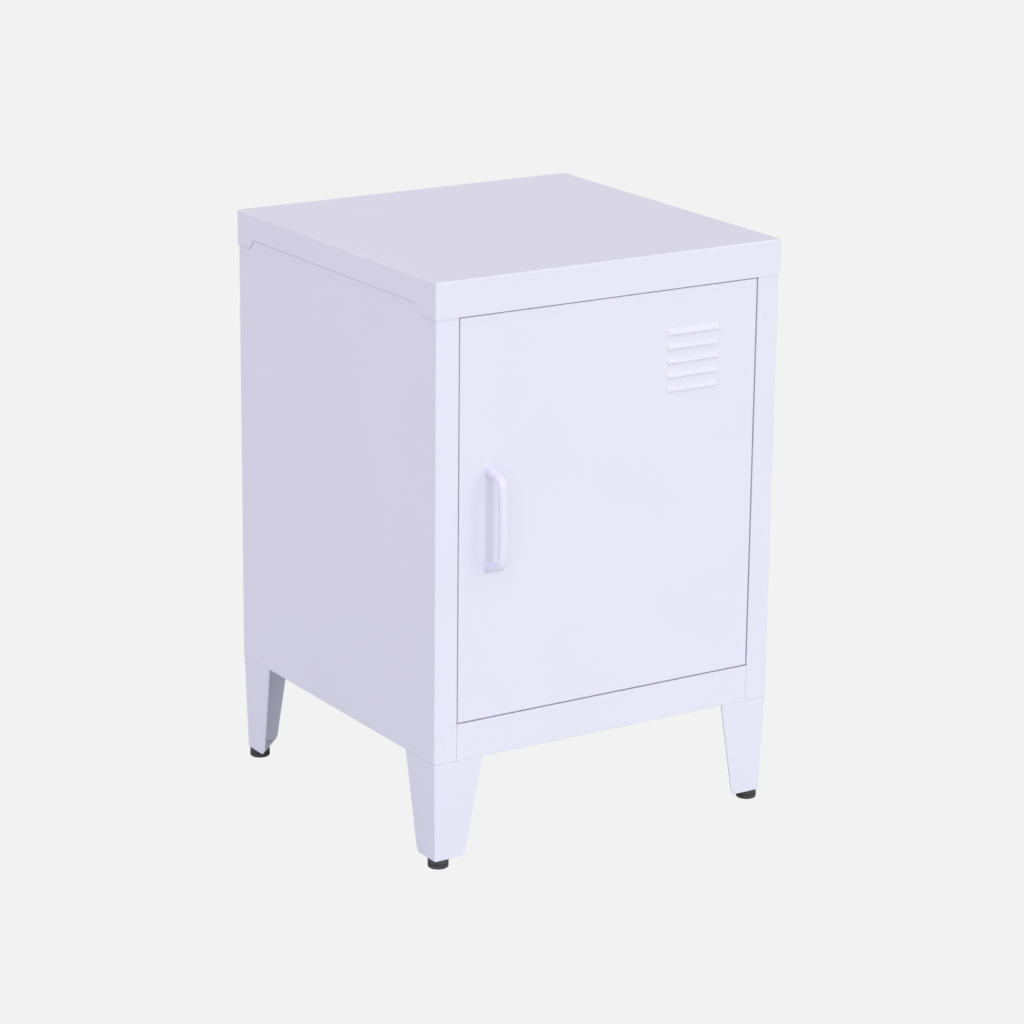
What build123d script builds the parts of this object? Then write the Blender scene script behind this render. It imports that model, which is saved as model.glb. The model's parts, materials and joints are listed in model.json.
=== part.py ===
from build123d import *
import os

# Sheet-steel locker cabinet on four corner legs. Millimetres, +Z up, the door faces -Y.
# The origin is the middle of the whole object's footprint, on the floor.

os.makedirs("parts", exist_ok=True)

# ---- driving dimensions -------------------------------------------------------------------
sheet = 0.8  # body and door sheet
leg_sheet = 1.5
body_width = 397.6
body_depth = 389.6
body_height = 480.0
cap_overhang = 1.2  # the cap stands this far outside the body on every side
cap_front_skirt = 36.0
cap_side_skirt = 26.0
cap_ear = 25.0  # flat width of the cap's low corners, seen from the side
stile_width = 25.0
rail_height = 38.0
leg_height = 101.5
foot_height = 9.3
fit_gap = 0.1  # between sheets that are only laid together

door_depth = 16.0
door_gap = 1.3  # at the latch side and the top
sill_gap = 1.4
hinge_gap = 1.4
door_lip = 12.0
pivot_inset = 13.0  # pivot axis from the door's hinge edge
pivot_depth = 6.0  # pivot axis behind the door's face
pin_radius = 2.0
pin_play = 0.05
bush_radius = 3.3

louvre_count = 5
louvre_width = 62.0
louvre_pitch = 14.25
louvre_height = 6.5
louvre_rise = 2.2

handle_reach = 29.0
handle_length = 105.5
handle_width = 10.0
handle_screw_pitch = 96.0

# ---- places worked out from them ----------------------------------------------------------
total_depth = handle_reach + body_depth + cap_overhang
front = handle_reach - total_depth / 2
back = front + body_depth
half = body_width / 2
base = leg_height + foot_height
top = base + body_height
cap_half = half + cap_overhang
cap_front = front - cap_overhang
cap_back = back + cap_overhang
cap_low = top - cap_front_skirt
opening_half = half - stile_width
deck = base + rail_height
door_left = -opening_half + door_gap
door_right = opening_half - hinge_gap
door_low = deck + sill_gap
door_high = cap_low - door_gap
door_middle_x = (door_left + door_right) / 2
pivot_x = door_right - pivot_inset
pivot_y = front + pivot_depth
stop_y = front + 20.0  # back of the stiles' return walls


def block(x, y, z, mode=Mode.ADD):
    """A rectangular block given by its low and high limit on each axis."""
    middle = ((x[0] + x[1]) / 2, (y[0] + y[1]) / 2, (z[0] + z[1]) / 2)
    with Locations(middle):
        Box(x[1] - x[0], y[1] - y[0], z[1] - z[0], mode=mode)


def rod(start, direction, radius, length, mode=Mode.ADD):
    """A cylinder that runs from start along direction."""
    with Locations(Plane(origin=start, z_dir=direction)):
        Cylinder(radius, length, align=(Align.CENTER, Align.CENTER, Align.MIN), mode=mode)


def pan_screw(start, direction, shank_radius, shank_length, head_radius, head_height):
    """A pan-head screw with a cross recess; start is under the head, direction is the shank's."""
    back_way = (-direction[0], -direction[1], -direction[2])
    place = Plane(origin=start, z_dir=back_way)
    rod(start, direction, shank_radius, shank_length)
    with BuildSketch(place) as head:
        Circle(head_radius)
    extrude(head.sketch, amount=head_height, taper=22)
    with BuildSketch(place.offset(head_height)) as recess:
        Rectangle(head_radius, head_radius * 0.22)
        Rectangle(head_radius * 0.22, head_radius)
    extrude(recess.sketch, amount=-head_height * 0.5, mode=Mode.SUBTRACT)


def hex_nut(start, direction, across_flats, height, bore_radius):
    """A hexagon nut that stands on start."""
    with BuildSketch(Plane(origin=start, z_dir=direction)) as hexagon:
        RegularPolygon(across_flats / 2, 6, major_radius=False)
        Circle(bore_radius, mode=Mode.SUBTRACT)
    extrude(hexagon.sketch, amount=height)


def finish(piece, name):
    """Label a finished piece and write it."""
    piece.part.label = name
    export_step(piece.part, f"parts/{name}.step")


# ---- top cap: a folded pan whose side skirts are shorter between their corner ears ---------
stud_points = [(sx * (half - 14), y) for sx in (-1, 1) for y in (front + 70, back - 60)]
catch_x = door_left + 78
catch_width = 46.0
catch_screw_points = [(catch_x + side * 17, front + 27) for side in (-1, 1)]
header_depth = 40.0
hem_radius = 0.7

with BuildPart() as top_panel:
    block((-cap_half, cap_half), (cap_front, cap_back), (cap_low, top))
    fillet(top_panel.edges().filter_by(Axis.Z), 1.6)
    fillet(top_panel.faces().sort_by(Axis.Z)[-1].edges(), 1.5)
    inside = cap_half - sheet
    block((-inside, inside), (cap_front + sheet, cap_back - sheet), (cap_low, top - sheet), Mode.SUBTRACT)
    ear_rise = cap_front_skirt - cap_side_skirt
    with BuildSketch(Plane.YZ):
        with BuildLine():
            Polyline(
                (cap_front + cap_ear, cap_low),
                (cap_front + cap_ear + ear_rise, cap_low + ear_rise),
                (cap_back - cap_ear - ear_rise, cap_low + ear_rise),
                (cap_back - cap_ear, cap_low),
                close=True,
            )
        make_face()
    extrude(amount=cap_half + 1, both=True, mode=Mode.SUBTRACT)
    hem = top_panel.edges().filter_by(Axis.Y).filter_by_position(Axis.Z, cap_low + ear_rise - 0.1, cap_low + ear_rise + 0.1)
    fillet([hem.sort_by(Axis.X)[0], hem.sort_by(Axis.X)[-1]], hem_radius)
    # header: the front skirt's return, which carries the upper bush and the catch
    header_half = opening_half - 0.3
    block((-header_half, header_half), (cap_front, front + header_depth), (cap_low, cap_low + sheet))
    rod((pivot_x, pivot_y, cap_low - 1), (0, 0, 1), bush_radius + pin_play, 3, Mode.SUBTRACT)
    for x, y in catch_screw_points:
        rod((x, y, cap_low - 1), (0, 0, 1), 1.7, 3, Mode.SUBTRACT)
finish(top_panel, "top_panel")

with BuildPart() as top_studs:
    for x, y in stud_points:
        rod((x, y, top - sheet), (0, 0, -1), 2.5, 14)
finish(top_studs, "top_studs")

side_top = top - sheet - fit_gap
with BuildPart() as top_nuts:
    for x, y in stud_points:
        hex_nut((x, y, side_top - sheet), (0, 0, -1), 8.0, 4.0, 2.56)
finish(top_nuts, "top_nuts")

# ---- side panels: side sheet, front stile and back return in one C-shaped fold ---------------
leg_screw_far = 40.0  # from the body's corner, along the panel that the leg hangs from
leg_screw_near = 13.0
corners = {
    "front_left": (-1, -1),
    "front_right": (1, -1),
    "back_left": (-1, 1),
    "back_right": (1, 1),
}
rivet_heights = [base + 60, base + 180, base + 300, base + 420]
rivet_x = half - 11
side_return = 32.0
corner_clear = 24.0


def corner_point(sx, sy, from_side, from_face):
    """A point measured inward from one of the body's four corners."""
    x = sx * (half - from_side)
    y = front + from_face if sy < 0 else back - from_face
    return x, y


def side_panel(sx, name):
    """One side panel; sx is -1 for the latch side and 1 for the hinge side."""
    outer = sx * half
    inner = sx * (half - sheet)
    lip = sx * opening_half
    with BuildPart() as panel:
        block(sorted((outer, lip)), (front, back), (base, side_top))
        outer_edges = panel.edges().filter_by(Axis.Z).group_by(Axis.X)[0 if sx < 0 else -1]
        fillet(outer_edges, 1.5)
        lower_edge = panel.edges().filter_by(Axis.Y).group_by(Axis.Z)[0].sort_by(Axis.X)[0 if sx < 0 else -1]
        fillet(lower_edge, 1.0)
        block(sorted((inner, lip)), (front + sheet, back - sheet), (base, side_top), Mode.SUBTRACT)
        # returns at the top, under the cap, and at the bottom, over the legs
        reach = sorted((inner, sx * (half - 25)))
        block(reach, (front + 45, back - corner_clear), (side_top - sheet, side_top))
        reach = sorted((inner, sx * (half - side_return)))
        block(reach, (front + corner_clear, back - corner_clear), (base, base + sheet))
        for point_x, point_y in stud_points:
            if point_x * sx > 0:
                rod((point_x, point_y, side_top - 2), (0, 0, 1), 2.7, 3, Mode.SUBTRACT)
        for sy in (-1, 1):
            x, y = corner_point(sx, sy, leg_screw_near, leg_screw_far)
            rod((x, y, base - 1), (0, 0, 1), 2.7, 3, Mode.SUBTRACT)
        for z in rivet_heights:
            rod((sx * rivet_x, back - 2, z), (0, 1, 0), 2.1, 4, Mode.SUBTRACT)
        # return wall behind the stile, then a lip: a door stop on the latch side, a stiffener on the other
        tall = (deck + 0.3, cap_low - 0.3)
        block(sorted((lip, lip + sx * sheet)), (front + sheet, stop_y), tall)
        lip_start = lip - sheet if sx < 0 else lip
        block((lip_start, lip_start + door_lip + sheet), (stop_y - sheet, stop_y), tall)
    finish(panel, name)


side_panel(-1, "left_side_panel")
side_panel(1, "right_side_panel")

# ---- back panel: laid inside the side panels' back returns and riveted ----------------------
panel_half = half - sheet - 0.2
back_face = back - sheet - fit_gap
with BuildPart() as back_panel:
    block((-panel_half, panel_half), (back_face - sheet, back_face), (base, side_top))
    block((-panel_half, panel_half), (back - 23, back_face), (base, base + sheet))
    for sx in (-1, 1):
        x, y = corner_point(sx, 1, leg_screw_far, leg_screw_near)
        rod((x, y, base - 1), (0, 0, 1), 2.7, 3, Mode.SUBTRACT)
        for z in rivet_heights:
            rod((sx * rivet_x, back_face - 2, z), (0, 1, 0), 2.1, 3, Mode.SUBTRACT)
finish(back_panel, "back_panel")

with BuildPart() as back_rivets:
    for sx in (-1, 1):
        for z in rivet_heights:
            with BuildSketch(Plane(origin=(sx * rivet_x, back, z), z_dir=(0, 1, 0))):
                Circle(4.0)
            extrude(amount=1.1, taper=45)
            rod((sx * rivet_x, back, z), (0, -1, 0), 2.0, 2 * sheet + fit_gap)
            rod((sx * rivet_x, back_face - sheet, z), (0, -1, 0), 2.9, 2.2)
finish(back_rivets, "back_rivets")

# ---- bottom panel: the deck, whose front edge is folded down as the rail under the door -----
rail_half = opening_half - 0.3
deck_back = back_face - sheet - fit_gap
with BuildPart() as bottom_panel:
    block((-rail_half, rail_half), (front, front + 3), (deck - sheet, deck))
    block((-rail_half, rail_half), (front, front + sheet), (base, deck))
    block((-rail_half, rail_half), (front, front + 23), (base, base + sheet))
    rail_edges = bottom_panel.edges().filter_by(Axis.X).group_by(Axis.Y)[0]
    fillet(rail_edges.sort_by(Axis.Z)[0], 0.7)
    fillet(bottom_panel.edges().filter_by(Axis.X).group_by(Axis.Y)[0].sort_by(Axis.Z)[-1], 0.7)
    block((-panel_half, panel_half), (front + 2, deck_back), (deck - sheet, deck))
    for sx in (-1, 1):
        flange = sorted((sx * panel_half, sx * (panel_half - sheet)))
        block(flange, (front + 3, deck_back), (deck - 18, deck))
        x, y = corner_point(sx, -1, leg_screw_far, leg_screw_near)
        rod((x, y, base - 1), (0, 0, 1), 2.7, 3, Mode.SUBTRACT)
    block((-panel_half, panel_half), (deck_back - sheet, deck_back), (deck - 18, deck))
    rod((pivot_x, pivot_y, deck - 2), (0, 0, 1), bush_radius + pin_play, 3, Mode.SUBTRACT)
finish(bottom_panel, "bottom_panel")

# ---- shelf: a loose pan on two angle rails -------------------------------------------------
shelf_top = base + 245
shelf_flange = 18.0
shelf_front = front + 30
shelf_back = back_face - sheet - 2
rail_top = shelf_top - shelf_flange - fit_gap

for sx, name in ((-1, "shelf_rail_left"), (1, "shelf_rail_right")):
    with BuildPart() as shelf_rail:
        wall = sorted((sx * (half - sheet), sx * (half - 2 * sheet - 0.4)))
        shelf_seat = sorted((sx * (half - sheet), sx * (half - 17)))
        length = (shelf_front + 4, shelf_back - 4)
        block(wall, length, (rail_top - 20, rail_top))
        block(shelf_seat, length, (rail_top - 1.2, rail_top))
    finish(shelf_rail, name)

shelf_half = half - sheet - 2.2
with BuildPart() as shelf:
    block((-shelf_half, shelf_half), (shelf_front, shelf_back), (shelf_top - shelf_flange, shelf_top))
    fillet(shelf.edges().filter_by(Axis.X).group_by(Axis.Z)[-1].sort_by(Axis.Y)[0], 1.2)
    core = shelf_half - sheet
    depth = (shelf_front + sheet, shelf_back - sheet)
    block((-core, core), depth, (shelf_top - shelf_flange, shelf_top - sheet), Mode.SUBTRACT)
    block((-core, core), (shelf_front, shelf_front + 10), (shelf_top - shelf_flange, shelf_top - shelf_flange + sheet))
finish(shelf, "shelf")

# ---- door: a shallow pan with lips, pin holes, handle holes and pressed louvres --------------
handle_x = -half + 60.3
handle_z = base + 241.8
louvre_middle = -half + 295.5
louvre_low = base + 340.7
wall_face = front + sheet
lip_face = front + door_depth - sheet

# one louvre hood in profile: u is out from the door's face, v is up from the hood's lower edge
hood_plane = Plane(origin=(0, 0, 0), x_dir=(0, -1, 0), z_dir=(-1, 0, 0))
with BuildPart() as louvre_hood:
    with BuildSketch(hood_plane):
        with BuildLine():
            Line((-0.4, 0), (louvre_rise, 0))
            ThreePointArc((louvre_rise, 0), (louvre_rise * 0.72, louvre_height * 0.52), (0, louvre_height))
            Line((0, louvre_height), (-0.4, louvre_height))
            Line((-0.4, louvre_height), (-0.4, 0))
        make_face()
    extrude(amount=louvre_width / 2, both=True)
    fillet(louvre_hood.edges().filter_by(GeomType.CIRCLE), 1.8)
    hollow_rise = louvre_rise - sheet
    hollow_height = louvre_height - 1.2
    with BuildSketch(hood_plane):
        with BuildLine():
            Line((-1, 0), (hollow_rise, 0))
            ThreePointArc((hollow_rise, 0), (hollow_rise * 0.66, hollow_height * 0.55), (0, hollow_height - 0.6))
            Line((0, hollow_height - 0.6), (-1, hollow_height - 0.6))
            Line((-1, hollow_height - 0.6), (-1, 0))
        make_face()
    extrude(amount=louvre_width / 2 - 1.6, both=True, mode=Mode.SUBTRACT)

with BuildPart() as door_panel:
    block((door_left, door_right), (front, front + door_depth), (door_low, door_high))
    fillet(door_panel.edges().filter_by(Axis.Y), 1.0)
    fillet(door_panel.faces().sort_by(Axis.Y)[0].edges(), 0.7)
    hollow_x = (door_left + sheet, door_right - sheet)
    hollow_z = (door_low + sheet, door_high - sheet)
    block(hollow_x, (wall_face, lip_face), hollow_z, Mode.SUBTRACT)
    window_x = (door_left + door_lip, door_right - door_lip)
    window_z = (door_low + door_lip, door_high - door_lip)
    block(window_x, (lip_face, front + door_depth), window_z, Mode.SUBTRACT)
    rod((pivot_x, pivot_y, door_low - 1), (0, 0, 1), pin_radius + pin_play, 4, Mode.SUBTRACT)
    rod((pivot_x, pivot_y, door_high - 3), (0, 0, 1), pin_radius + pin_play, 4, Mode.SUBTRACT)
    for side in (-1, 1):
        hole_z = handle_z + side * handle_screw_pitch / 2
        rod((handle_x, front - 1, hole_z), (0, 1, 0), 2.15, 3, Mode.SUBTRACT)
    for step in range(louvre_count):
        low = louvre_low + step * louvre_pitch
        slot_half = louvre_width / 2 - 1.6
        slot = (louvre_middle - slot_half, louvre_middle + slot_half)
        block(slot, (front - 1, front + 1), (low, low + louvre_height - 1.8), Mode.SUBTRACT)
        with Locations((louvre_middle, front, low)):
            add(louvre_hood.part)
finish(door_panel, "door_panel")

with BuildPart() as door_stiffener:
    stiffener_z = (door_low + 25, door_high - 25)
    for side in (-1, 1):
        foot = sorted((door_middle_x + side * 15, door_middle_x + side * 29))
        web = sorted((door_middle_x + side * 15, door_middle_x + side * (15 - sheet)))
        block(foot, (wall_face, wall_face + sheet), stiffener_z)
        block(web, (wall_face, wall_face + 13), stiffener_z)
    crown = (door_middle_x - 15, door_middle_x + 15)
    block(crown, (wall_face + 13 - sheet, wall_face + 13), stiffener_z)
finish(door_stiffener, "door_stiffener")

# ---- handle: a slim cast bow, thicker where its arms meet the door -------------------------
arm_end = handle_length / 2
grip_out = handle_reach - 1.8
grip_in = handle_reach - 7.6
grip_bow = 1.8
foot_inner = arm_end - 9.0
arm_lean = 6.0  # how far each arm's outer edge leans towards the middle
handle_plane = Plane(origin=(handle_x, front, handle_z), x_dir=(0, -1, 0), z_dir=(-1, 0, 0))


def faces_the_door(edge):
    """True for an edge on the inside of the bow."""
    middle = edge.center()
    return middle.Y > front - grip_in - 3 and abs(middle.Z - handle_z) < foot_inner + 0.5


with BuildPart() as door_handle:
    with BuildSketch(handle_plane):
        with BuildLine():
            Line((0, arm_end), (grip_out, arm_end - arm_lean))
            ThreePointArc((grip_out, arm_end - arm_lean), (handle_reach, 0), (grip_out, arm_lean - arm_end))
            Line((grip_out, arm_lean - arm_end), (0, -arm_end))
            Line((0, -arm_end), (0, -foot_inner))
            Line((0, -foot_inner), (grip_in, -foot_inner))
            ThreePointArc((grip_in, -foot_inner), (grip_in + grip_bow, 0), (grip_in, foot_inner))
            Line((grip_in, foot_inner), (0, foot_inner))
            Line((0, foot_inner), (0, arm_end))
        make_face()
    extrude(amount=handle_width / 2, both=True)
    outer_bends = door_handle.edges().filter_by(Axis.X).group_by(Axis.Y)[0]
    fillet(outer_bends, 15.0)
    inner_bends = door_handle.edges().filter_by(Axis.X).filter_by_position(
        Axis.Y, front - grip_in - 0.2, front - grip_in + 0.2
    )
    fillet(inner_bends, 9.0)
    # round the long edges of the bow, more outside than inside, but not the flat feet on the door
    side_faces = door_handle.faces().filter_by(Axis.X)
    rim = side_faces.edges().filter_by(lambda edge: edge.center().Y < front - 0.1)
    inner_rim = rim.filter_by(faces_the_door)
    outer_rim = rim.filter_by(faces_the_door, reverse=True)
    fillet(outer_rim, 3.6)
    kept_rim = door_handle.edges().filter_by(lambda edge: any(edge.is_same(one) for one in inner_rim))
    fillet(kept_rim, 1.2)
    for side in (-1, 1):
        hole_z = handle_z + side * handle_screw_pitch / 2
        rod((handle_x, front, hole_z), (0, -1, 0), 2.05, 10.5, Mode.SUBTRACT)
finish(door_handle, "door_handle")

washer = 0.8
with BuildPart() as handle_washers:
    for side in (-1, 1):
        place = Plane(origin=(handle_x, wall_face, handle_z + side * handle_screw_pitch / 2), z_dir=(0, 1, 0))
        with BuildSketch(place):
            Circle(4.5)
            Circle(2.2, mode=Mode.SUBTRACT)
        extrude(amount=washer)
finish(handle_washers, "handle_washers")

with BuildPart() as handle_screws:
    for side in (-1, 1):
        start = (handle_x, wall_face + washer, handle_z + side * handle_screw_pitch / 2)
        pan_screw(start, (0, -1, 0), 2.0, 11.0, 4.0, 2.6)
finish(handle_screws, "handle_screws")

# ---- pivots: a shouldered pin in the door turns in a flanged bush in the frame -------------
def hinge_bush(seat_z, way, name):
    """A bush flush with the frame's face at seat_z, its flange on the far side of the sheet."""
    with BuildPart() as bush:
        rod((pivot_x, pivot_y, seat_z), (0, 0, way), bush_radius, 7.0)
        rod((pivot_x, pivot_y, seat_z + way * sheet), (0, 0, way), bush_radius + 1.7, 1.4)
        rod((pivot_x, pivot_y, seat_z - way * 3), (0, 0, way), pin_radius + pin_play, 12, Mode.SUBTRACT)
    finish(bush, name)


def hinge_pin(wall_z, way, gap, name):
    """A pin with a head inside the door pan and a shoulder in the gap; wall_z is the wall's inner face."""
    with BuildPart() as pin:
        rod((pivot_x, pivot_y, wall_z), (0, 0, -way), 4.0, 1.8)
        rod((pivot_x, pivot_y, wall_z), (0, 0, way), pin_radius, 9.0)
        rod((pivot_x, pivot_y, wall_z + way * sheet), (0, 0, way), pin_radius + 0.6, gap - fit_gap)
        tip = pin.edges().group_by(Axis.Z)[-1 if way > 0 else 0]
        chamfer(tip, 0.6)
    finish(pin, name)


hinge_bush(cap_low, 1, "hinge_bush_top")
hinge_bush(deck, -1, "hinge_bush_bottom")
hinge_pin(door_high - sheet, 1, door_gap, "hinge_pin_top")
hinge_pin(door_low + sheet, -1, sill_gap, "hinge_pin_bottom")

# ---- magnetic catch under the header, and rubber bumpers on the stop lip ---------------------
door_back = front + door_depth
catch_front = door_back + 0.4
catch_back = front + 36
catch_z = (cap_low - 13, cap_low)
magnet_half = 12.0
plate = 1.6
magnet_z = (cap_low - 10.5, cap_low - 3.5)
with BuildPart() as catch_housing:
    block((catch_x - catch_width / 2, catch_x + catch_width / 2), (catch_front + 1, catch_back), catch_z)
    fillet(catch_housing.edges().filter_by(Axis.Z), 2.5)
    pocket_z = (magnet_z[0] - plate - 0.1, magnet_z[1] + plate + 0.1)
    pocket_x = (catch_x - magnet_half - 0.1, catch_x + magnet_half + 0.1)
    block(pocket_x, (catch_front, catch_front + 12), pocket_z, Mode.SUBTRACT)
    for x, y in catch_screw_points:
        rod((x, y, catch_z[0] - 1), (0, 0, 1), 1.55, 20, Mode.SUBTRACT)
        rod((x, y, catch_z[0] - 1), (0, 0, 1), 3.1, 4, Mode.SUBTRACT)
finish(catch_housing, "catch_housing")

with BuildPart() as catch_magnet:
    magnet_x = (catch_x - magnet_half, catch_x + magnet_half)
    block(magnet_x, (catch_front + 1.2, catch_front + 12), magnet_z)
finish(catch_magnet, "catch_magnet")

with BuildPart() as catch_pole_plates:
    for low in (magnet_z[0] - plate, magnet_z[1]):
        block(magnet_x, (catch_front, catch_front + 12), (low, low + plate))
finish(catch_pole_plates, "catch_pole_plates")

with BuildPart() as catch_screws:
    for x, y in catch_screw_points:
        pan_screw((x, y, catch_z[0] + 3), (0, 0, 1), 1.5, 14.0, 2.8, 2.0)
finish(catch_screws, "catch_screws")

bumper_x = -opening_half + 6.5
bumper_seat = stop_y - sheet
with BuildPart() as door_bumpers:
    for z in (door_low + 30, door_high - 30):
        with BuildSketch(Plane(origin=(bumper_x, bumper_seat, z), z_dir=(0, -1, 0))):
            Circle(4.5)
        extrude(amount=bumper_seat - door_back - fit_gap, taper=15)
finish(door_bumpers, "door_bumpers")

# ---- legs: one folded and tapered corner sheet each, closed at both ends by plates ------------
leg_low = foot_height
leg_inset_top = 0.3
leg_inset_low = 2.8
leg_reach_top = 55.0
leg_reach_knee = 37.5
leg_reach_low = 34.0
knee_height = 5.0
leg_fold_radius = 1.8
leg_top_radius = 1.0  # softens the seam between leg and body
foot_centre = 12.0
stem_radius = 4.0
stem_play = 0.08


def leg_inset(z):
    """How far the leg's outer faces stand inside the body's, at height z."""
    share = (z - leg_low) / leg_height
    return leg_inset_low + (leg_inset_top - leg_inset_low) * share


def corner_polygon(sx, sy, z, distances):
    """A closed outline at height z, from distances measured inward from one body corner."""
    with BuildSketch(Plane.XY.offset(z)) as outline:
        with BuildLine():
            Polyline([corner_point(sx, sy, a, b) for a, b in distances], close=True)
        make_face()
    return outline.sketch


def seam_distance(edge, sx, sy):
    """How far an edge at the leg's top lies inside the leg's outer faces."""
    outer_x, outer_y = corner_point(sx, sy, leg_inset_top, leg_inset_top)
    return min(abs(edge.center().X - outer_x), abs(edge.center().Y - outer_y))


def leg(sx, sy, name):
    """The corner leg whose outer faces follow the body's corner (sx, sy)."""
    stations = ((base, leg_reach_top), (leg_low + knee_height, leg_reach_knee), (leg_low, leg_reach_low))
    sections = []
    for z, reach in stations:
        a = leg_inset(z)
        b = a + leg_sheet
        sections.append(corner_polygon(sx, sy, z, [(a, a), (reach, a), (reach, b), (b, b), (b, reach), (a, reach)]))
    near = leg_inset_top + leg_sheet - 0.3
    far = leg_reach_top - 2
    cut = 22.0
    top_plate = corner_polygon(sx, sy, base, [(near, near), (far, near), (far, cut), (cut, far), (near, far)])
    near = leg_inset_low + leg_sheet - 0.3
    far = leg_reach_low - 2
    cut = near + 1.5
    foot_plate = corner_polygon(sx, sy, leg_low, [(near, near), (far, near), (far, cut), (cut, far), (near, far)])
    with BuildPart() as body_leg:
        loft(sections, ruled=True)
        fold_x, fold_y = corner_point(sx, sy, 0, 0)
        upright = body_leg.edges().filter_by(lambda edge: edge.bounding_box().size.Z > knee_height - 1)
        fold = upright.sort_by(lambda edge: abs(edge.center().X - fold_x) + abs(edge.center().Y - fold_y))[:2]
        fillet(fold, leg_fold_radius)
        seam = body_leg.edges().group_by(Axis.Z)[-1].filter_by(lambda edge: seam_distance(edge, sx, sy) < 0.65)
        fillet(seam, leg_top_radius)
        extrude(top_plate, amount=leg_sheet, dir=(0, 0, -1))
        extrude(foot_plate, amount=leg_sheet, dir=(0, 0, 1))
        x, y = corner_point(sx, sy, foot_centre, foot_centre)
        rod((x, y, leg_low - 1), (0, 0, 1), stem_radius + stem_play, 4, Mode.SUBTRACT)
        for a, b in ((leg_screw_far, leg_screw_near), (leg_screw_near, leg_screw_far)):
            x, y = corner_point(sx, sy, a, b)
            rod((x, y, base - 3), (0, 0, 1), 2.7, 4, Mode.SUBTRACT)
    finish(body_leg, name)


for corner, (sx, sy) in corners.items():
    leg(sx, sy, f"leg_{corner}")

leg_screw_points = []
for sx, sy in corners.values():
    leg_screw_points.append(corner_point(sx, sy, leg_screw_far, leg_screw_near))
    leg_screw_points.append(corner_point(sx, sy, leg_screw_near, leg_screw_far))

with BuildPart() as leg_screws:
    for x, y in leg_screw_points:
        pan_screw((x, y, base - leg_sheet), (0, 0, 1), 2.5, 8.5, 4.6, 3.2)
finish(leg_screws, "leg_screws")

with BuildPart() as leg_nuts:
    for x, y in leg_screw_points:
        hex_nut((x, y, base + sheet), (0, 0, 1), 8.0, 4.0, 2.56)
finish(leg_nuts, "leg_nuts")

# ---- levelling feet: a grooved pad on a threaded stem, and the nut welded in the leg ----------
pad_radius = 10.4
pad_top = foot_height - fit_gap
stem_length = 30.0

with BuildPart() as foot_weld_nuts:
    for sx, sy in corners.values():
        x, y = corner_point(sx, sy, foot_centre, foot_centre)
        hex_nut((x, y, leg_low + leg_sheet), (0, 0, 1), 13.0, 6.5, stem_radius + stem_play)
finish(foot_weld_nuts, "foot_weld_nuts")


def foot_pad(x, y, name):
    """A round pad with softened rims and one groove."""
    groove_low = pad_top * 0.48
    groove_high = groove_low + 0.9
    with BuildPart() as pad:
        with BuildSketch(Plane(origin=(x, y, 0), x_dir=(1, 0, 0), z_dir=(0, -1, 0))):
            with BuildLine():
                Polyline((0, pad_top), (0, 0), (pad_radius - 1.6, 0))
                RadiusArc((pad_radius - 1.6, 0), (pad_radius, 1.6), -1.6)
                Polyline(
                    (pad_radius, 1.6),
                    (pad_radius, groove_low),
                    (pad_radius - 0.8, groove_low + 0.2),
                    (pad_radius - 0.8, groove_high - 0.2),
                    (pad_radius, groove_high),
                    (pad_radius, pad_top - 1),
                )
                RadiusArc((pad_radius, pad_top - 1), (pad_radius - 1, pad_top), -1)
                Line((pad_radius - 1, pad_top), (0, pad_top))
            make_face()
        revolve(axis=Axis((x, y, 0), (0, 0, 1)))
    finish(pad, name)


def foot_stem(x, y, name):
    """The threaded stem that stands on the pad, with a chamfered end."""
    with BuildPart() as stem:
        rod((x, y, pad_top), (0, 0, 1), stem_radius, stem_length)
        chamfer(stem.edges().group_by(Axis.Z)[-1], 0.8)
    finish(stem, name)


for corner, (sx, sy) in corners.items():
    x, y = corner_point(sx, sy, foot_centre, foot_centre)
    foot_pad(x, y, f"foot_pad_{corner}")
    foot_stem(x, y, f"foot_stem_{corner}")
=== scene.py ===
"""Looks of the lilac locker cabinet: its powder coat, its threads and metals, and the stage it stands on."""

import json
import math

import bmesh
import bpy
from bpy.props import FloatProperty, FloatVectorProperty, IntProperty, PointerProperty
from bpy.types import Operator, Panel, PropertyGroup
from mathutils import Matrix, Vector


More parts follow.
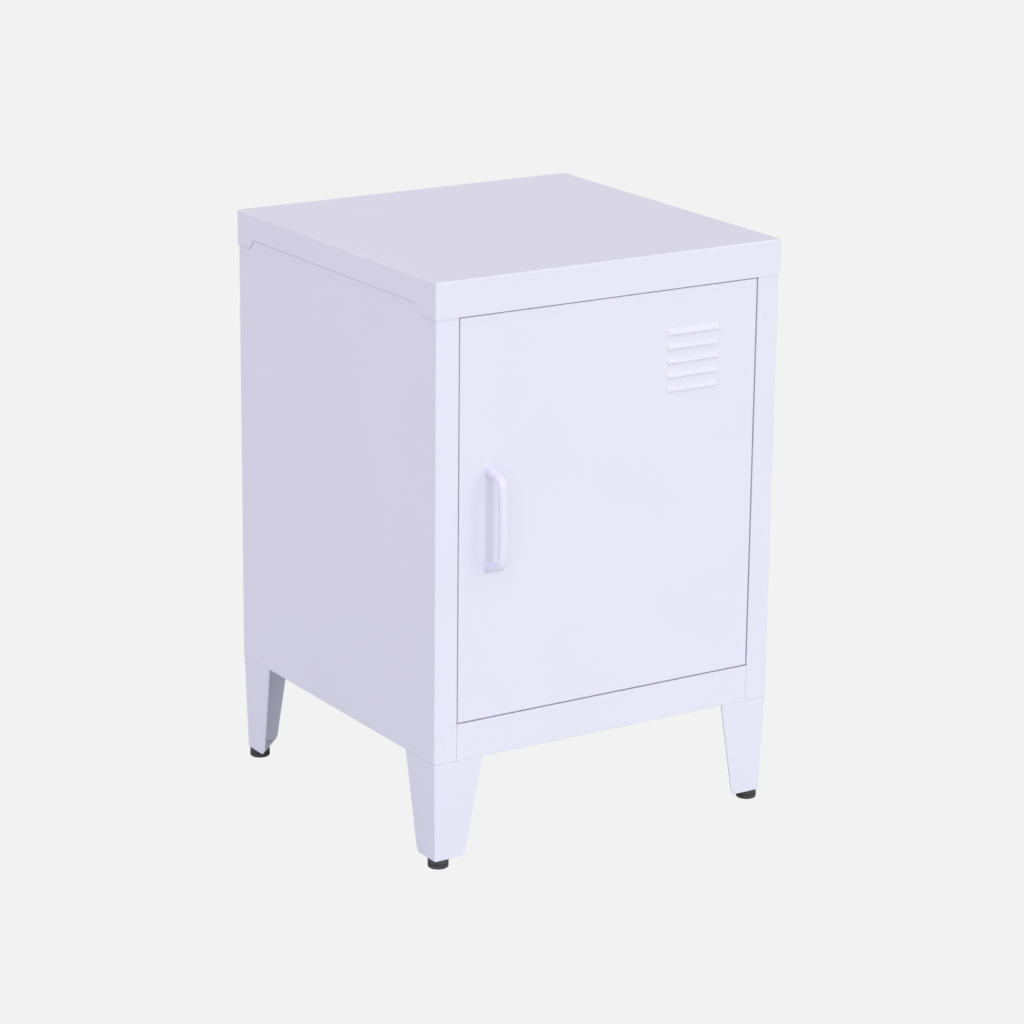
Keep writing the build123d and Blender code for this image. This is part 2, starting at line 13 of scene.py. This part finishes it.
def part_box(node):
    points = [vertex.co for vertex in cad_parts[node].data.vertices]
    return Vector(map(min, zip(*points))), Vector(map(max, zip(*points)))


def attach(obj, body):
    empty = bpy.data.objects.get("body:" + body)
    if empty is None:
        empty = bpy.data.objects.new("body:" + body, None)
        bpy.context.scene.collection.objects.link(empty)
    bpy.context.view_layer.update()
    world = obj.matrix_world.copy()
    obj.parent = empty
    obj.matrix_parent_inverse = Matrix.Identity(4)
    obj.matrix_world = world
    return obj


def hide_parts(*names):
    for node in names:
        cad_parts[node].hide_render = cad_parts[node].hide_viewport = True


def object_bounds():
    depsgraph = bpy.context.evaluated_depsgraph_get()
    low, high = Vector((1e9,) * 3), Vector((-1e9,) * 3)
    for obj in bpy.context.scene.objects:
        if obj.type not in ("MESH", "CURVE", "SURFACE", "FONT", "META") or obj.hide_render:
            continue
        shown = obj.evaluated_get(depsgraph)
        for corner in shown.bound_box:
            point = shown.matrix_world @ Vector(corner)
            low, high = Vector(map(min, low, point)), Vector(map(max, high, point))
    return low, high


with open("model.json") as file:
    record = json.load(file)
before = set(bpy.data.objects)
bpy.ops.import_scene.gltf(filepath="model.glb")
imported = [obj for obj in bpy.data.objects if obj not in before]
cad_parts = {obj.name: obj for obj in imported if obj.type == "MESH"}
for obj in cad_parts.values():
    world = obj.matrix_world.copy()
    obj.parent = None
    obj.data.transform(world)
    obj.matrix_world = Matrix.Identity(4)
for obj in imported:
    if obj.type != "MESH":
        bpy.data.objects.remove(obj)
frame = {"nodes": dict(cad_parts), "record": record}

bl_info = {
    "name": "Locker Cabinet Finishes",
    "version": (1, 0, 0),
    "blender": (4, 5, 0),
    "location": "View3D > Sidebar > Locker",
    "description": "Gives the folded-steel locker cabinet its coat, threads, metals and stage",
    "category": "Object",
}

cad_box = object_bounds()
CORNERS = ("front_left", "front_right", "back_left", "back_right")
TURN = 2 * math.pi
STEM_CHAMFER = 0.0008  # on a stem's free end
PLATING_BUMP = 0.00001
RIVET_SHEEN = 0.06  # how much smoother than the sheets' coat
HANDLE_SHEEN = 0.12
AIM = Vector((0.0016, -0.00235, -0.0028))  # from the middle of the cabinet to the point looked at


# ---- settings ------------------------------------------------------------------------------
class PaintSettings(PropertyGroup):
    """The powder coat on every sheet, the handle and the rivets."""

    colour: FloatVectorProperty(
        name="Colour",
        description="Base colour of the powder coat",
        subtype="COLOR",
        size=3,
        min=0.0,
        max=1.0,
        default=(0.755, 0.755, 0.885),
    )
    shade: FloatProperty(
        name="Shade",
        description="How much the coat's colour wanders over a sheet",
        subtype="FACTOR",
        min=0.0,
        max=1.0,
        default=0.035,
    )
    roughness: FloatProperty(
        name="Roughness",
        description="Mean roughness of the satin coat",
        subtype="FACTOR",
        min=0.0,
        max=1.0,
        default=0.46,
    )
    peel_size: FloatProperty(
        name="Peel size",
        description="Width of one orange-peel cell",
        unit="LENGTH",
        min=0.0002,
        default=0.0016,
    )
    peel_height: FloatProperty(
        name="Peel height",
        description="Height of the orange peel",
        unit="LENGTH",
        min=0.0,
        precision=6,
        default=0.00006,
    )


class MetalSettings(PropertyGroup):
    """Plated steel: stems, nuts, screws, pins and pole plates."""

    zinc: FloatVectorProperty(
        name="Zinc",
        description="Colour of the bright zinc plating",
        subtype="COLOR",
        size=3,
        min=0.0,
        max=1.0,
        default=(0.66, 0.67, 0.68),
    )
    roughness: FloatProperty(
        name="Roughness",
        description="Mean roughness of the plating",
        subtype="FACTOR",
        min=0.0,
        max=1.0,
        default=0.34,
    )
    stem_pitch: FloatProperty(
        name="Stem pitch",
        description="Thread pitch of the levelling stems",
        unit="LENGTH",
        min=0.0005,
        default=0.00125,
    )
    stem_depth: FloatProperty(
        name="Stem thread depth",
        description="Depth of the stem's thread",
        unit="LENGTH",
        min=0.0001,
        default=0.0007,
    )
    thread_steps: IntProperty(
        name="Steps a turn",
        description="Straight steps in one turn of a thread",
        min=8,
        max=64,
        default=28,
    )


class MouldingSettings(PropertyGroup):
    """Moulded pieces: foot pads, catch, bushes and bumpers."""

    pad: FloatVectorProperty(
        name="Foot pad",
        description="Colour of the black foot pads",
        subtype="COLOR",
        size=3,
        min=0.0,
        max=1.0,
        default=(0.045, 0.045, 0.049),
    )
    nylon: FloatVectorProperty(
        name="Nylon",
        description="Colour of the hinge bushes",
        subtype="COLOR",
        size=3,
        min=0.0,
        max=1.0,
        default=(0.80, 0.79, 0.74),
    )
    catch: FloatVectorProperty(
        name="Catch",
        description="Colour of the catch's housing",
        subtype="COLOR",
        size=3,
        min=0.0,
        max=1.0,
        default=(0.74, 0.74, 0.75),
    )
    bumper: FloatVectorProperty(
        name="Bumper",
        description="Colour of the soft door bumpers",
        subtype="COLOR",
        size=3,
        min=0.0,
        max=1.0,
        default=(0.62, 0.62, 0.60),
    )
    ferrite: FloatVectorProperty(
        name="Ferrite",
        description="Colour of the catch's sintered magnet",
        subtype="COLOR",
        size=3,
        min=0.0,
        max=1.0,
        default=(0.055, 0.055, 0.06),
    )


class StageSettings(PropertyGroup):
    """Floor, lights and camera."""

    floor_colour: FloatVectorProperty(
        name="Floor",
        description="Colour of the pale floor",
        subtype="COLOR",
        size=3,
        min=0.0,
        max=1.0,
        default=(0.75, 0.75, 0.75),
    )
    backdrop: FloatProperty(
        name="Backdrop",
        description="Brightness of the floor as the camera sees it, lit from below like a light table",
        min=0.0,
        default=0.888,
    )
    floor_size: FloatProperty(
        name="Floor size",
        description="Half the floor's width",
        unit="LENGTH",
        min=1.0,
        default=20.0,
    )
    ambient: FloatVectorProperty(
        name="Ambient",
        description="The even light from all around",
        size=3,
        min=0.0,
        default=(0.637, 0.620, 0.572),
    )
    front_fill: FloatVectorProperty(
        name="Front fill",
        description="The very broad light in front of the door",
        size=3,
        min=0.0,
        default=(0.71, 0.78, 0.80),
    )
    side_light: FloatVectorProperty(
        name="Side light",
        description="The light from high on the left, which draws the lines under the ledges",
        size=3,
        min=0.0,
        default=(0.45, 0.40, 0.68),
    )
    front_light: FloatProperty(
        name="Front light",
        description="Strength of the narrower light that faces the door",
        min=0.0,
        default=0.6,
    )
    left_light: FloatProperty(
        name="Left light",
        description="Strength of the light from the front left",
        min=0.0,
        default=0.20,
    )
    right_light: FloatProperty(
        name="Right light",
        description="Strength of the light from the front right",
        min=0.0,
        default=0.16,
    )
    azimuth: FloatProperty(
        name="Azimuth",
        description="Turn of the view from straight at the door",
        subtype="ANGLE",
        default=math.radians(32.6056),
    )
    elevation: FloatProperty(
        name="Elevation",
        description="How far the view looks down",
        subtype="ANGLE",
        default=math.radians(16.4653),
    )
    roll: FloatProperty(
        name="Roll",
        description="Turn of the camera about its own line of sight",
        subtype="ANGLE",
        default=math.radians(0.619),
    )
    distance: FloatProperty(
        name="Distance",
        description="From the camera to the point it looks at",
        unit="LENGTH",
        min=0.5,
        default=3.6356,
    )
    lens: FloatProperty(
        name="Lens",
        description="Focal length in millimetres",
        min=10.0,
        default=124.6,
    )


# ---- shader groups ---------------------------------------------------------------------------
def new_group(name, inputs, outputs):
    """An empty node group with its sockets; returns the group and its two ends."""
    group = bpy.data.node_groups.new(name, "ShaderNodeTree")
    for label, kind, default in inputs:
        socket = group.interface.new_socket(label, in_out="INPUT", socket_type=kind)
        if default is not None:
            socket.default_value = default
    for label, kind in outputs:
        group.interface.new_socket(label, in_out="OUTPUT", socket_type=kind)
    return group, group.nodes.new("NodeGroupInput"), group.nodes.new("NodeGroupOutput")


def math_node(group, kind, first, second):
    """A Math node whose two inputs are sockets or numbers; returns its output."""
    node = group.nodes.new("ShaderNodeMath")
    node.operation = kind
    for socket, value in zip(node.inputs, (first, second)):
        if isinstance(value, (int, float)):
            socket.default_value = value
        else:
            group.links.new(value, socket)
    return node.outputs[0]


def noise(group, place, scale, detail):
    """A Noise Texture on the given place; scale is a socket or a number of cells a metre."""
    node = group.nodes.new("ShaderNodeTexNoise")
    node.inputs["Detail"].default_value = detail
    group.links.new(place, node.inputs["Vector"])
    if isinstance(scale, (int, float)):
        node.inputs["Scale"].default_value = scale
    else:
        group.links.new(scale, node.inputs["Scale"])
    return node.outputs["Fac"]


def wandering_colour(group, colour, amount, cells):
    """The colour, lighter and darker by amount where the noise is high and low."""
    swing = math_node(group, "SUBTRACT", cells, 0.5)
    swing = math_node(group, "MULTIPLY", swing, amount)
    gain = math_node(group, "ADD", math_node(group, "MULTIPLY", swing, 2.0), 1.0)
    scaled = group.nodes.new("ShaderNodeVectorMath")
    scaled.operation = "SCALE"
    group.links.new(colour, scaled.inputs[0])
    group.links.new(gain, scaled.inputs["Scale"])
    return scaled.outputs[0]


def wandering_value(group, value, amount, cells):
    """The value, raised and lowered by amount where the noise is high and low."""
    swing = math_node(group, "SUBTRACT", cells, 0.5)
    swing = math_node(group, "MULTIPLY", swing, amount)
    return math_node(group, "ADD", value, swing)


def blended(group, first, second, share):
    """Two values mixed: a share of the first and the rest of the second."""
    part = math_node(group, "MULTIPLY", first, share)
    rest = math_node(group, "MULTIPLY", second, 1.0 - share)
    return math_node(group, "ADD", part, rest)


def powder_coat_group():
    """Orange peel, cloudy shade and uneven gloss of a sprayed and baked powder."""
    group, start, end = new_group(
        "Powder coat",
        (
            ("Place", "NodeSocketVector", None),
            ("Colour", "NodeSocketColor", None),
            ("Shade", "NodeSocketFloat", 0.03),
            ("Roughness", "NodeSocketFloat", 0.45),
            ("Peel size", "NodeSocketFloat", 0.0016),
        ),
        (("Colour", "NodeSocketColor"), ("Roughness", "NodeSocketFloat"), ("Height", "NodeSocketFloat")),
    )
    place = start.outputs["Place"]
    cells = math_node(group, "DIVIDE", 1.0, start.outputs["Peel size"])
    peel = noise(group, place, cells, detail=1.5)
    cloud = noise(group, place, scale=7.0, detail=3.0)
    finer = math_node(group, "MULTIPLY", cells, 1.7)
    speck = noise(group, place, finer, detail=1.0)
    mottle = blended(group, cloud, speck, 0.7)
    colour = wandering_colour(group, start.outputs["Colour"], start.outputs["Shade"], mottle)
    patches = noise(group, place, scale=45.0, detail=3.0)
    roughness = wandering_value(group, start.outputs["Roughness"], 0.16, patches)
    group.links.new(colour, end.inputs["Colour"])
    group.links.new(roughness, end.inputs["Roughness"])
    group.links.new(peel, end.inputs["Height"])
    return group


def plating_group():
    """Cloudy, faintly blue and yellow passivated plating with a fine grain."""
    group, start, end = new_group(
        "Plating",
        (
            ("Place", "NodeSocketVector", None),
            ("Colour", "NodeSocketColor", None),
            ("Roughness", "NodeSocketFloat", 0.35),
        ),
        (("Colour", "NodeSocketColor"), ("Roughness", "NodeSocketFloat"), ("Height", "NodeSocketFloat")),
    )
    place = start.outputs["Place"]
    cloud = noise(group, place, scale=240.0, detail=3.0)
    tint = group.nodes.new("ShaderNodeValToRGB")
    tint.color_ramp.elements[0].position = 0.3
    tint.color_ramp.elements[0].color = (0.86, 0.93, 1.0, 1.0)
    tint.color_ramp.elements[1].position = 0.7
    tint.color_ramp.elements[1].color = (1.0, 0.97, 0.86, 1.0)
    group.links.new(cloud, tint.inputs["Fac"])
    mixed = group.nodes.new("ShaderNodeVectorMath")
    mixed.operation = "MULTIPLY"
    group.links.new(start.outputs["Colour"], mixed.inputs[0])
    group.links.new(tint.outputs["Color"], mixed.inputs[1])
    group.links.new(mixed.outputs[0], end.inputs["Colour"])
    grain = noise(group, place, scale=2600.0, detail=2.0)
    patches = noise(group, place, scale=500.0, detail=3.0)
    roughness = wandering_value(group, start.outputs["Roughness"], 0.25, patches)
    group.links.new(roughness, end.inputs["Roughness"])
    group.links.new(grain, end.inputs["Height"])
    return group


def moulded_group():
    """The fine spark-eroded grain of a moulded piece, in a slightly uneven shade."""
    group, start, end = new_group(
        "Moulded grain",
        (
            ("Place", "NodeSocketVector", None),
            ("Colour", "NodeSocketColor", None),
            ("Shade", "NodeSocketFloat", 0.1),
            ("Roughness", "NodeSocketFloat", 0.5),
            ("Grain size", "NodeSocketFloat", 0.0005),
        ),
        (("Colour", "NodeSocketColor"), ("Roughness", "NodeSocketFloat"), ("Height", "NodeSocketFloat")),
    )
    place = start.outputs["Place"]
    cells = math_node(group, "DIVIDE", 1.0, start.outputs["Grain size"])
    grain = noise(group, place, cells, detail=2.0)
    cloud = noise(group, place, scale=160.0, detail=2.0)
    mottle = blended(group, cloud, grain, 0.6)
    colour = wandering_colour(group, start.outputs["Colour"], start.outputs["Shade"], mottle)
    roughness = wandering_value(group, start.outputs["Roughness"], 0.2, cloud)
    group.links.new(colour, end.inputs["Colour"])
    group.links.new(roughness, end.inputs["Roughness"])
    group.links.new(grain, end.inputs["Height"])
    return group


def group_named(name, build):
    """The node group of that name, built the first time it is asked for."""
    return bpy.data.node_groups.get(name) or build()


def material(name, group, values, height, metallic=0.0):
    """A Principled material fed by one finish group; height is how deep the finish's bumps are."""
    made = bpy.data.materials.new(name)
    made.use_nodes = True
    tree = made.node_tree
    shader = tree.nodes["Principled BSDF"]
    shader.inputs["Metallic"].default_value = metallic
    place = tree.nodes.new("ShaderNodeTexCoord")
    finish = tree.nodes.new("ShaderNodeGroup")
    finish.node_tree = group
    for label, value in values.items():
        finish.inputs[label].default_value = value
    bump = tree.nodes.new("ShaderNodeBump")
    bump.inputs["Distance"].default_value = height
    tree.links.new(place.outputs["Object"], finish.inputs["Place"])
    tree.links.new(finish.outputs["Colour"], shader.inputs["Base Color"])
    tree.links.new(finish.outputs["Roughness"], shader.inputs["Roughness"])
    tree.links.new(finish.outputs["Height"], bump.inputs["Height"])
    tree.links.new(bump.outputs["Normal"], shader.inputs["Normal"])
    return made


def rgba(colour):
    """A colour property as the four numbers that a socket takes."""
    return (*colour, 1.0)


def in_slot(slot):
    """The CAD nodes that the record puts in a material slot."""
    return [frame["nodes"][row["node"]] for row in frame["record"]["subparts"] if row["material_slot"] == slot]


def coat_slot(slot, finish):
    """Give every CAD node of a slot its finish."""
    nodes = in_slot(slot)
    if not nodes:
        raise RuntimeError(f"no node uses the slot {slot}")
    for node in nodes:
        for place in node.material_slots:
            place.material = finish


def paint(slot, name, settings, sheen=0.0):
    """Powder-coat one slot with the shared settings; sheen is how much smoother its coat is."""
    values = {
        "Colour": rgba(settings.colour),
        "Shade": settings.shade,
        "Roughness": settings.roughness - sheen,
        "Peel size": settings.peel_size,
    }
    finish = group_named("Powder coat", powder_coat_group)
    coat_slot(slot, material(name, finish, values, settings.peel_height))


# ---- mesh helpers ----------------------------------------------------------------------------
def keep(mesh, name, finish, body, node):
    """Turn a finished bmesh into a piece that rides on a body and stands for a CAD node."""
    bmesh.ops.remove_doubles(mesh, verts=mesh.verts, dist=1e-7)
    bmesh.ops.recalc_face_normals(mesh, faces=mesh.faces)
    data = bpy.data.meshes.new(name)
    mesh.to_mesh(data)
    mesh.free()
    piece = bpy.data.objects.new(name, data)
    bpy.context.scene.collection.objects.link(piece)
    data.materials.append(finish)
    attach(piece, body)
    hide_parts(node)


def add_thread(mesh, centre, low, high, radius, depth, pitch, steps):
    """Add one threaded rod along Z: a V profile spun up a helix, cut flat at both ends and capped."""
    turns = math.ceil((high - low) / pitch) + 2
    start = low - pitch
    root = radius - depth
    profile = ((root, 0.0), (radius, 0.44), (radius, 0.56), (root, 1.0))
    verts = [mesh.verts.new((centre.x + r, centre.y, start + share * pitch)) for r, share in profile]
    edges = [mesh.edges.new(pair) for pair in zip(verts, verts[1:])]
    bmesh.ops.spin(
        mesh,
        geom=verts + edges,
        cent=(centre.x, centre.y, 0.0),
        axis=(0.0, 0.0, 1.0),
        dvec=(0.0, 0.0, pitch / steps),
        angle=TURN * turns,
        steps=steps * turns,
    )
    bmesh.ops.remove_doubles(mesh, verts=mesh.verts, dist=1e-6)
    for level, way in ((low, -1), (high, 1)):
        bmesh.ops.bisect_plane(
            mesh,
            geom=mesh.verts[:] + mesh.edges[:] + mesh.faces[:],
            plane_co=(centre.x, centre.y, level),
            plane_no=(0.0, 0.0, way),
            clear_outer=True,
        )
        rim = []
        for edge in mesh.edges:
            if edge.is_boundary and all(abs(vert.co.z - level) < 1e-6 for vert in edge.verts):
                rim.append(edge)
        bmesh.ops.contextual_create(mesh, geom=rim)


def threaded_stem(centre, low, high, radius, settings):
    """The bmesh of one threaded stem, chamfered at its high end."""
    stem = bmesh.new()
    depth = settings.stem_depth
    add_thread(stem, centre, low, high, radius, depth, settings.stem_pitch, settings.thread_steps)
    for vert in stem.verts:
        beyond = STEM_CHAMFER - (high - vert.co.z)
        out = Vector((vert.co.x - centre.x, vert.co.y - centre.y, 0.0))
        limit = radius - beyond
        if beyond > 0 and out.length > limit:
            vert.co -= out.normalized() * (out.length - limit)
    return stem


# ---- operators -------------------------------------------------------------------------------
class LOCKER_OT_powder_coat(Operator):
    """Coat the body, door, handle, legs and rivets"""

    bl_idname = "locker.powder_coat"
    bl_label = "Powder Coat"

    def execute(self, context):
        settings = context.scene.locker_paint
        paint("body_paint", "Body coat", settings)
        paint("door_paint", "Door coat", settings)
        paint("leg_paint", "Leg coat", settings)
        paint("rivet_paint", "Rivet coat", settings, RIVET_SHEEN)
        paint("handle_paint", "Handle coat", settings, HANDLE_SHEEN)
        return {"FINISHED"}


class LOCKER_OT_plated_steel(Operator):
    """Plate the screws, nuts, studs, pins and pole plates"""

    bl_idname = "locker.plated_steel"
    bl_label = "Plated Steel"

    def execute(self, context):
        settings = context.scene.locker_metal
        values = {"Colour": rgba(settings.zinc), "Roughness": settings.roughness}
        plating = group_named("Plating", plating_group)
        coat_slot("zinc_steel", material("Bright zinc", plating, values, PLATING_BUMP, metallic=1.0))
        return {"FINISHED"}


class LOCKER_OT_threads(Operator):
    """Cut real threads on the levelling stems"""

    bl_idname = "locker.threads"
    bl_label = "Threads"

    def execute(self, context):
        settings = context.scene.locker_metal
        zinc = bpy.data.materials["Bright zinc"]
        for corner in CORNERS:
            node = f"foot_stem_{corner}"
            low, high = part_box(node)
            middle = (low + high) / 2
            radius = (high.x - low.x) / 2
            stem = threaded_stem(middle, low.z, high.z, radius, settings)
            keep(stem, f"threaded_stem_{corner}", zinc, f"foot_{corner}", node)
        return {"FINISHED"}


class LOCKER_OT_mouldings(Operator):
    """Give the foot pads, catch, bushes, bumpers and magnet their moulded finishes"""

    bl_idname = "locker.mouldings"
    bl_label = "Mouldings"

    def execute(self, context):
        settings = context.scene.locker_mouldings
        grain = group_named("Moulded grain", moulded_group)
        finishes = (
            ("foot_plastic", "Black foot plastic", settings.pad, 0.25, 0.52, 0.0006, 0.00006),
            ("bush_nylon", "Natural nylon", settings.nylon, 0.04, 0.42, 0.0008, 0.00001),
            ("catch_plastic", "Catch plastic", settings.catch, 0.04, 0.48, 0.0005, 0.00002),
            ("bumper_rubber", "Bumper rubber", settings.bumper, 0.05, 0.6, 0.0008, 0.00001),
            ("magnet_ferrite", "Sintered ferrite", settings.ferrite, 0.5, 0.66, 0.0004, 0.00004),
        )
        for slot, name, colour, shade, roughness, size, height in finishes:
            values = {"Colour": rgba(colour), "Shade": shade, "Roughness": roughness, "Grain size": size}
            coat_slot(slot, material(name, grain, values, height))
        return {"FINISHED"}


class LOCKER_OT_stage(Operator):
    """Lay the pale floor, hang the soft lights and set the camera"""

    bl_idname = "locker.stage"
    bl_label = "Stage"

    def execute(self, context):
        settings = context.scene.locker_stage
        scene = context.scene
        scene.view_settings.view_transform = "Standard"
        world = bpy.data.worlds.new("Even light")
        world.use_nodes = True
        sky = world.node_tree.nodes["Background"]
        sky.inputs["Color"].default_value = rgba(settings.ambient)
        scene.world = world
        self.lay_floor(scene, settings)
        white = Vector((1.0, 1.0, 1.0))
        lights = (
            ("front_fill", (0.0, 1.0, -0.2), settings.front_fill, 110),
            ("side_light", (0.75, 0.05, -1.0), settings.side_light, 12),
            ("front_light", (0.03, 1.0, -0.40), settings.front_light * white, 14),
            ("left_light", (0.95, 1.0, -0.50), settings.left_light * white, 20),
            ("right_light", (-0.65, 1.0, -0.40), settings.right_light * white, 16),
        )
        for name, way, strength, softness in lights:
            self.hang_light(scene, name, Vector(way), strength, softness)
        self.set_camera(scene, settings)
        return {"FINISHED"}

    def lay_floor(self, scene, settings):
        """A very large pale plane, which the camera sees evenly bright."""
        mesh = bmesh.new()
        bmesh.ops.create_grid(mesh, x_segments=1, y_segments=1, size=settings.floor_size)
        data = bpy.data.meshes.new("floor")
        mesh.to_mesh(data)
        mesh.free()
        floor = bpy.data.objects.new("floor", data)
        scene.collection.objects.link(floor)
        surface = bpy.data.materials.new("Pale floor")
        surface.use_nodes = True
        tree = surface.node_tree
        shader = tree.nodes["Principled BSDF"]
        shader.inputs["Base Color"].default_value = rgba(settings.floor_colour)
        shader.inputs["Roughness"].default_value = 1.0
        shader.inputs["Specular IOR Level"].default_value = 0.0
        glow = tree.nodes.new("ShaderNodeEmission")
        glow.inputs["Strength"].default_value = settings.backdrop
        ray = tree.nodes.new("ShaderNodeLightPath")
        mixed = tree.nodes.new("ShaderNodeMixShader")
        tree.links.new(ray.outputs["Is Camera Ray"], mixed.inputs[0])
        tree.links.new(shader.outputs[0], mixed.inputs[1])
        tree.links.new(glow.outputs[0], mixed.inputs[2])
        tree.links.new(mixed.outputs[0], tree.nodes["Material Output"].inputs["Surface"])
        data.materials.append(surface)

    def hang_light(self, scene, name, way, strength, softness):
        """A sun lamp that shines along way; softness is its width in degrees."""
        lamp = bpy.data.lights.new(name, "SUN")
        lamp.energy = 1.0
        lamp.color = strength
        lamp.angle = math.radians(softness)
        light = bpy.data.objects.new(name, lamp)
        light.rotation_euler = way.to_track_quat("-Z", "Y").to_euler()
        light.location = -2 * way
        scene.collection.objects.link(light)

    def set_camera(self, scene, settings):
        """The camera, turned about the middle of the cabinet."""
        low, high = (Vector(corner) for corner in cad_box)
        target = (low + high) / 2 + AIM
        turn = Matrix.Rotation(-settings.azimuth, 3, "Z")
        turn = turn @ Matrix.Rotation(math.pi / 2 - settings.elevation, 3, "X")
        turn = turn @ Matrix.Rotation(settings.roll, 3, "Z")
        data = bpy.data.cameras.new("camera")
        data.lens = settings.lens
        data.sensor_width = 36.0
        data.clip_end = 100.0
        camera = bpy.data.objects.new("camera", data)
        place = target + turn @ Vector((0.0, 0.0, settings.distance))
        camera.matrix_world = Matrix.Translation(place) @ turn.to_4x4()
        scene.collection.objects.link(camera)
        scene.camera = camera


class LOCKER_PT_sidebar(Panel):
    """The cabinet's settings and steps"""

    bl_idname = "LOCKER_PT_sidebar"
    bl_label = "Locker Cabinet"
    bl_space_type = "VIEW_3D"
    bl_region_type = "UI"
    bl_category = "Locker"

    def draw(self, context):
        for name, steps in PANEL_ROWS:
            box = self.layout.box()
            settings = getattr(context.scene, name)
            for field in settings.__annotations__:
                box.prop(settings, field)
            for step in steps:
                box.operator(step.bl_idname)


PANEL_ROWS = (
    ("locker_paint", (LOCKER_OT_powder_coat,)),
    ("locker_metal", (LOCKER_OT_plated_steel, LOCKER_OT_threads)),
    ("locker_mouldings", (LOCKER_OT_mouldings,)),
    ("locker_stage", (LOCKER_OT_stage,)),
)
SETTINGS = {
    "locker_paint": PaintSettings,
    "locker_metal": MetalSettings,
    "locker_mouldings": MouldingSettings,
    "locker_stage": StageSettings,
}
OPERATORS = (
    LOCKER_OT_powder_coat,
    LOCKER_OT_plated_steel,
    LOCKER_OT_threads,
    LOCKER_OT_mouldings,
    LOCKER_OT_stage,
)
CLASSES = (*SETTINGS.values(), *OPERATORS, LOCKER_PT_sidebar)


def register():
    for item in CLASSES:
        bpy.utils.register_class(item)
    for name, kind in SETTINGS.items():
        setattr(bpy.types.Scene, name, PointerProperty(type=kind))


def unregister():
    for name in SETTINGS:
        delattr(bpy.types.Scene, name)
    for item in reversed(CLASSES):
        bpy.utils.unregister_class(item)


def main():
    register()
    bpy.ops.locker.powder_coat()
    bpy.ops.locker.plated_steel()
    bpy.ops.locker.threads()
    bpy.ops.locker.mouldings()
    bpy.ops.locker.stage()


if __name__ == "__main__":
    main()
